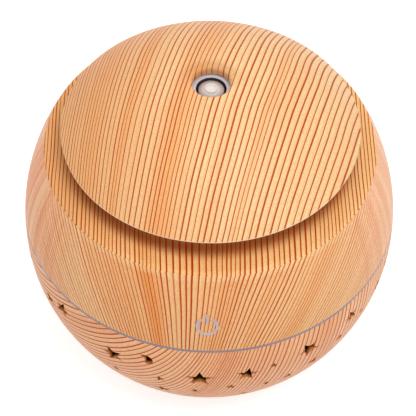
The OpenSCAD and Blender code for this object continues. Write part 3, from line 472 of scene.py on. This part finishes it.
def lid_field(x, y, z):
    """The lid's lines run from front to back, a little aslant, and crowd together at the left edge."""
    half_width = 36.0
    u = x / half_width
    v = y / half_width
    count = (u * 21.9 - v * 5.2 - u * u * 0.65 - u * v * 1.55 + v * v * 0.36
             + u * u * u * 0.42 + u * u * v * 0.4 + u * v * v * 1.03 - v * v * v * 0.19)
    close = (u * -1.0 - 0.5).at_least(0.0)
    return count - close * close * 21.0, y, 1.0


def lid_masks(painter, x, y, z):
    """Painted shade darkens the film at the back and on the left, away from the light, and in the dish behind
    the mist hole. A painted highlight makes its thin edge paler."""
    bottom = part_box("lid_cover")[0].z / MM
    reach = from_axis(x, y)
    # Painted shade at the back and on the left, away from the light
    back = (y - x * 0.35).step(2.0, 42.0) * 0.3
    left = (x * -1.0).step(4.0, 34.0) * 0.42
    # Painted highlight along the thin edge of the lid
    rim = (1.0 - z.step(bottom + 0.2, bottom + 0.4)) * reach.step(36.9, 37.2) * 0.7
    # Painted shade in the dish behind the mist hole
    dish = (1.0 - reach.step(5.4, 9.0)) * y.step(-3.0, 4.0) * 0.4
    under = ((back, rgb(222, 134, 70)), (left, rgb(222, 142, 72)))
    over = ((rim, rgb(255, 232, 196)), (dish, rgb(180, 116, 58)))
    return under, over


def shoulder_count(x, y):
    """The line count on the shoulder, where the lines run from front to back."""
    half_width = 40.0
    u = x / half_width
    v = y / half_width
    return u * 23.4 + v * 0.67 - u * u * 0.53 - u * v * 0.9 + u * u * u * 7.1 + u * u * v * 0.37


def upper_field(x, y, z):
    """The shoulder's lines go on down the wall and draw in towards the middle on their way. They are faint at
    the sides, as part of the painted sheen there, and stand upright at the back."""
    middle_z = 56.0
    half_height = 10.0
    draw_in = 10.2
    edge_v = (EDGE_Z - middle_z) / half_height
    turn = angle_round(x, y)
    aside = turn.abs()
    v = (z.at_most(EDGE_Z) - middle_z) / half_height
    drop = v - edge_v
    lean = drop * -0.84 - drop * turn.sin() * draw_in + (v * v - edge_v * edge_v) * 0.13
    front = shoulder_count(turn.sin() * EDGE_R, turn.cos() * -EDGE_R) + lean
    back = turn * (WALL_LINES / FULL_TURN) - (1.0 - turn.cos()) * 2.8
    wall = front + (back - v * turn.sin() * draw_in - front) * aside.step(1.05, 1.4)
    behind = aside.above(BEHIND)
    top = shoulder_count(x, y)
    top = top + (back - turn.sin() * 11.2 - top) * behind
    on_top = z.step(EDGE_Z - 0.2, EDGE_Z - 0.1)
    count = wall + (top - wall) * on_top
    along = z + (y - z) * on_top * (1.0 - behind)
    # The lines fade towards the sides, as part of the painted sheen there
    keep = aside.step(0.2, 0.7, 0.84, 0.66) * aside.step(0.95, 1.35, 1.0, 0.35)
    keep = keep + aside.step(1.95, 2.4, 0.0, 0.7)
    keep = keep + ((aside - BEHIND).abs().step(0.02, 0.12) - keep) * on_top
    return count, along, keep


def upper_masks(painter, x, y, z):
    """The shoulder is golden, with painted shade on the left, a painted shadow of the lid where it turns up
    into the neck and a painted highlight at its edge. The wall is paler away from the middle of the front,
    with pink, streaky sides that are a painted sheen, and painted light on the right side."""
    reach = from_axis(x, y)
    aside = angle_round(x, y).abs()
    on_top = z.step(EDGE_Z - 1.0, EDGE_Z - 0.4)
    paler = aside.step(0.4, 0.8) * (1.0 - on_top) * 0.22
    # Painted shade on the left of the shoulder, away from the light
    left = (x * -1.0 + y * 0.3).step(4.0, 34.0) * on_top * 0.36
    # Painted shadow of the lid where the shoulder turns up into the neck
    neck = (1.0 - reach.step(34.6, 39.0)) * on_top * 0.75
    # Painted highlight along the shoulder's edge
    edge = (z - (EDGE_Z - 0.8)).abs().step(0.2, 1.1, 0.36, 0.0)
    below_edge = 1.0 - z.step(EDGE_Z - 0.4, EDGE_Z + 0.2)
    # Painted sheen on the sides, pink and streaky
    sides = aside.step(0.75, 1.3) * aside.step(1.9, 2.4, 1.0, 0.0) * below_edge
    # Painted light on the right side
    right = sides * x.step(10.0, 40.0) * 0.4
    streak_r = 26.0
    streaks = painter.noise(painter.vector(x / reach * streak_r, y / reach * streak_r, z * 0.012), 1.0, 3.0)
    under = (
        (paler, rgb(252, 212, 166)),
        (on_top * 0.55, rgb(247, 203, 130)),
        (left, rgb(204, 120, 50)),
        (neck, rgb(168, 92, 28)),
        (edge, rgb(255, 222, 170)),
        (sides * 0.85, rgb(250, 176, 130)),
        (sides * streaks.step(0.45, 0.64) * 0.7, rgb(255, 216, 174)),
        (sides * streaks.step(0.36, 0.5, 0.5, 0.0), rgb(226, 138, 88)),
        (right, rgb(255, 212, 174)),
    )
    # A deeper painted shadow of the lid at the neck, over the lines
    over = ((neck * 0.5, rgb(120, 34, 0)),)
    return under, over


def bowl_field(x, y, z):
    """The bowl's lines crowd together at the front. They are almost upright on the right, and further apart
    and leaning over on the left."""
    turn = angle_round(x, y)
    lift = z - 42.0
    lean = (turn.sin() * 3.0 - 0.44).tanh() * 0.24 - 0.28
    even = turn * (BOWL_EVEN_LINES / FULL_TURN) + (1.0 - turn.cos()) * 12.9
    crowd = ((turn * 0.5).sin() * 7.16 - 0.25).tanh() * BOWL_CROWD_LINES
    return even + crowd + lift * lean, z - turn.sin() * 18.0, 1.0


def bowl_masks(painter, x, y, z):
    """The walls of the bowl's cut-outs are plain tan plastic at the surface. Further in, painted shade
    darkens them and the bowl's inside.
    """
    low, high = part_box("lower_shell")
    widest_r = (high.x - low.x) / 2 / MM
    out = from_axis(x, y) + (BOWL_CURVE_R - widest_r)
    rise = z - WIDEST_Z
    depth = BOWL_CURVE_R - (out * out + rise * rise).sqrt()
    over = (
        (depth.step(0.1, 0.18), rgb(226, 146, 78)),
        # Painted shade, deeper in the cut-outs and over the bowl's inside
        (depth.step(0.4, 1.4), rgb(64, 36, 20)),
    )
    return (), over


# ---- Other materials -------------------------------------------------------------------------

def moulded(name, colour, rough=0.4, grain=0.25, depth=0.02, shade=0.12, metal=0.0):
    """Moulded plastic, rubber or cast metal: a slightly uneven colour, a fine eroded grain and its gloss."""
    painter = Painter(name)
    x, y, z = painter.place()
    here = painter.vector(x, y, z)
    fine = painter.noise(here, 1.0 / grain, 3.0, 0.6)
    wide = painter.noise(here, 0.09, 2.0)
    uneven = painter.mix(wide.step(0.3, 0.7), colour, darker(colour, shade))
    painter.paint(uneven, fine.step(0.25, 0.75, rough - 0.05, rough + 0.07), metal)
    return painter.emboss(fine, depth, 0.5)


def outlet(name, colour, shade, gap_shade_from_r, gap_shade_full_r):
    """The mist outlet's satin plastic, with painted shade that darkens it outwards and where its two parts
    face each other.
    """
    painter = Painter(name)
    x, y, z = painter.place()
    reach = from_axis(x, y)
    fine = painter.noise(painter.vector(x, y, z), 6.0, 3.0, 0.6)
    # Painted shade: darker outwards
    tone = painter.mix(reach.step(1.2, 3.1), colour, shade)
    tone = painter.mix(fine.step(0.3, 0.8, 0.0, 0.12), tone, shade)
    # Painted shade in the gap where the nozzle and the button face each other
    tone = painter.mix(reach.step(gap_shade_from_r, gap_shade_full_r), tone, rgb(46, 40, 40))
    painter.paint(tone, fine.step(0.25, 0.75, 0.26, 0.38))
    painter.set(Coat_Weight=0.3)
    return painter.emboss(fine, 0.01, 0.4)


def brushed(name, colour, rough=0.3, shade=0.2):
    """Turned or plated metal with fine marks."""
    painter = Painter(name)
    x, y, z = painter.place()
    marks = painter.noise(painter.vector(x * 3.0, y * 3.0, z * 14.0), 1.0, 3.0, 0.65)
    marked = painter.mix(marks.step(0.3, 0.7), colour, darker(colour, shade))
    painter.paint(marked, marks.step(0.2, 0.8, rough - 0.08, rough + 0.12), metal=1.0)
    return painter.emboss(marks, 0.01, 0.3)


def board(name, lacquer, track):
    """A circuit board: lacquer over copper tracks at a fixed pitch, with tinned pads."""
    painter = Painter(name)
    x, y, z = painter.place()
    pitch = 1.27
    column = x / pitch
    row = y / pitch
    here = column.fract() - 0.5
    there = row.fract() - 0.5
    # chance says whether a stretch of track is there, and whether a crossing has a pad
    lengthwise = painter.chance(column.floor() + (row / 5.0).floor() * 37.5).above(0.45)
    crosswise = painter.chance(row.floor() + (column / 4.0).floor() * 53.5).above(0.6)
    padded = painter.chance(column.floor() * 3.0 + row.floor() * 91.5).above(0.82)
    along_y = here.abs().step(0.12, 0.18, 1.0, 0.0) * lengthwise
    along_x = there.abs().step(0.12, 0.18, 1.0, 0.0) * crosswise
    tracks = along_y.at_least(along_x)
    pads = (here * here + there * there).step(0.06, 0.08, 1.0, 0.0) * padded
    fine = painter.noise(painter.vector(x, y, z), 5.0, 3.0, 0.6)
    colour = painter.mix(tracks, lacquer, track)
    colour = painter.mix(fine.step(0.3, 0.8, 0.0, 0.2), colour, track)
    colour = painter.mix(pads, colour, rgb(202, 204, 204))
    painter.paint(colour, fine.step(0.25, 0.75, 0.3, 0.42), pads)
    return painter.emboss(tracks * 0.4 + pads, 0.04, 0.6)


def wound(name, colour, pitch):
    """Enamelled copper wire, laid in turns, with painted shade in the creases between them."""
    painter = Painter(name)
    x, y, z = painter.place()
    turns = ((z / pitch).fract() - 0.5).abs()
    fine = painter.noise(painter.vector(x, y, z * 3.0), 4.0, 2.0)
    dark = darker(colour, 0.65)
    wire = painter.mix(fine.step(0.3, 0.7, 0.0, 0.4), colour, dark)
    # Painted shade in the creases between turns
    wire = painter.mix(turns.step(0.3, 0.5), wire, dark)
    painter.paint(wire, fine.step(0.3, 0.7, 0.26, 0.36), 0.9)
    return painter.emboss(turns * -1.0, 0.08, 0.8)


def disc(name):
    """The ceramic disc that makes the mist: a plated face with its silvered electrode in the middle."""
    painter = Painter(name)
    x, y, z = painter.place()
    low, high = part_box("ultrasonic_disc")
    middle = (low + high) / 2 / MM
    disc_r = (high.x - low.x) / 2 / MM
    reach = from_axis(x - middle.x, y - middle.y) / disc_r
    fine = painter.noise(painter.vector(x * 3.0, y * 3.0, z), 1.0, 3.0, 0.65)
    face = painter.mix(reach.step(0.44, 0.47), rgb(206, 206, 204), rgb(214, 190, 128))
    face = painter.mix(fine.step(0.35, 0.75, 0.0, 0.25), face, rgb(150, 128, 84))
    painter.paint(face, fine.step(0.2, 0.8, 0.22, 0.38), 0.9)
    return painter.emboss(fine, 0.01, 0.3)


# ---- What each piece wears ---------------------------------------------------------------------

def paint_outside():
    wear(wood("wood_lid", lid_field, WALL_LINES, LID_LOOK, lid_masks), "lid_cover")
    wear(wood("wood_upper", upper_field, WALL_LINES, UPPER_LOOK, upper_masks), "upper_shell")
    wear(wood("wood_bowl", bowl_field, BOWL_LINES, BOWL_LOOK, bowl_masks), "lower_shell")
    wear(moulded("trim_satin", rgb(140, 125, 134), rough=0.35, grain=0.2, depth=0.01), "trim_ring")
    wear(moulded("mark_print", rgb(194, 182, 184), rough=0.45, grain=0.15, depth=0.01), "power_mark")
    nozzle = outlet("nozzle_satin", rgb(228, 226, 234), rgb(206, 202, 212), gap_shade_from_r=3.88, gap_shade_full_r=3.72)
    button = outlet("button_satin", rgb(226, 218, 214), rgb(168, 150, 142), gap_shade_from_r=3.0, gap_shade_full_r=3.25)
    wear(nozzle, "mist_nozzle")
    wear(button, "mist_button")
    base = moulded("base_white", rgb(236, 233, 226), rough=0.5, grain=0.35, depth=0.03, shade=0.08)
    wear(base, "base_plate")
    wear(moulded("pad_rubber", rgb(62, 62, 64), rough=0.75, grain=0.3, depth=0.05), "foot_pads")


def paint_water_and_mist_parts():
    white = moulded("white_plastic", rgb(246, 246, 244), rough=0.32, grain=0.3, depth=0.015, shade=0.06)
    wear(white, "lid_liner", "air_riser")
    tank = moulded("tank_plastic", rgb(246, 247, 247), rough=0.3, grain=0.3, depth=0.015, shade=0.07)
    wear(tank, "water_tank")
    wear(moulded("silicone", rgb(228, 228, 226), rough=0.6, grain=0.3), "lid_gasket")
    wear(moulded("seal_orange", rgb(214, 112, 44), rough=0.6, grain=0.3), "disc_seal")
    wear(moulded("duct_grey", rgb(120, 122, 126), rough=0.5, grain=0.3, depth=0.03), "air_duct")
    wear(disc("disc_plate"), "ultrasonic_disc")
    wear(moulded("clamp_cast", rgb(188, 190, 194), depth=0.03, metal=0.9), "disc_clamp")


def paint_screws_and_fan():
    steel = brushed("screw_steel", rgb(196, 196, 198))
    wear(steel, "base_screws", "lid_screws", "clamp_screws", "fan_screws", "board_screws", "fan_shaft")
    black = moulded("fan_black", rgb(40, 40, 43), rough=0.45, grain=0.3)
    wear(black, "fan_frame", "fan_rotor", "inlet_socket")
    wear(moulded("magnet", rgb(72, 72, 76), rough=0.6, grain=0.2), "fan_magnet")
    wear(wound("copper_wire", rgb(204, 116, 62), pitch=0.3), "fan_coils")
    wear(brushed("bronze", rgb(178, 140, 84)), "fan_bearing")


def paint_boards_and_leads():
    wear(board("board_white", rgb(228, 230, 224), rgb(206, 210, 204)), "light_board")
    wear(board("board_green", rgb(22, 84, 54), rgb(52, 128, 78)), "main_board", "touch_board")
    wear(moulded("light_lens", rgb(238, 226, 150), rough=0.2), "lights")
    wear(moulded("ferrite", rgb(66, 66, 70), rough=0.6), "inductor")
    wear(moulded("can_sleeve", rgb(40, 48, 96), rough=0.3), "capacitors")
    wear(moulded("moulded_epoxy", rgb(42, 42, 44), rough=0.55), "control_chip", "power_transistor")
    wear(brushed("gold_plate", rgb(214, 176, 92)), "touch_spring")
    wear(brushed("tin", rgb(204, 204, 200)), "inlet_contacts")
    for name, colour, leads in (
        ("wire_red", rgb(176, 44, 40), "inlet_leads"),
        ("wire_red_thin", rgb(176, 44, 40), "fan_leads"),
        ("wire_white", rgb(226, 226, 222), "disc_leads"),
        ("wire_orange", rgb(222, 122, 36), "light_leads"),
        ("wire_black", rgb(40, 40, 42), "touch_lead"),
    ):
        wear(moulded(name, colour, rough=0.45), leads)


bpy.context.scene.view_settings.view_transform = "Standard"
make_camera()
make_floor()
make_sky()
make_lamps()
paint_outside()
paint_water_and_mist_parts()
paint_screws_and_fan()
paint_boards_and_leads()
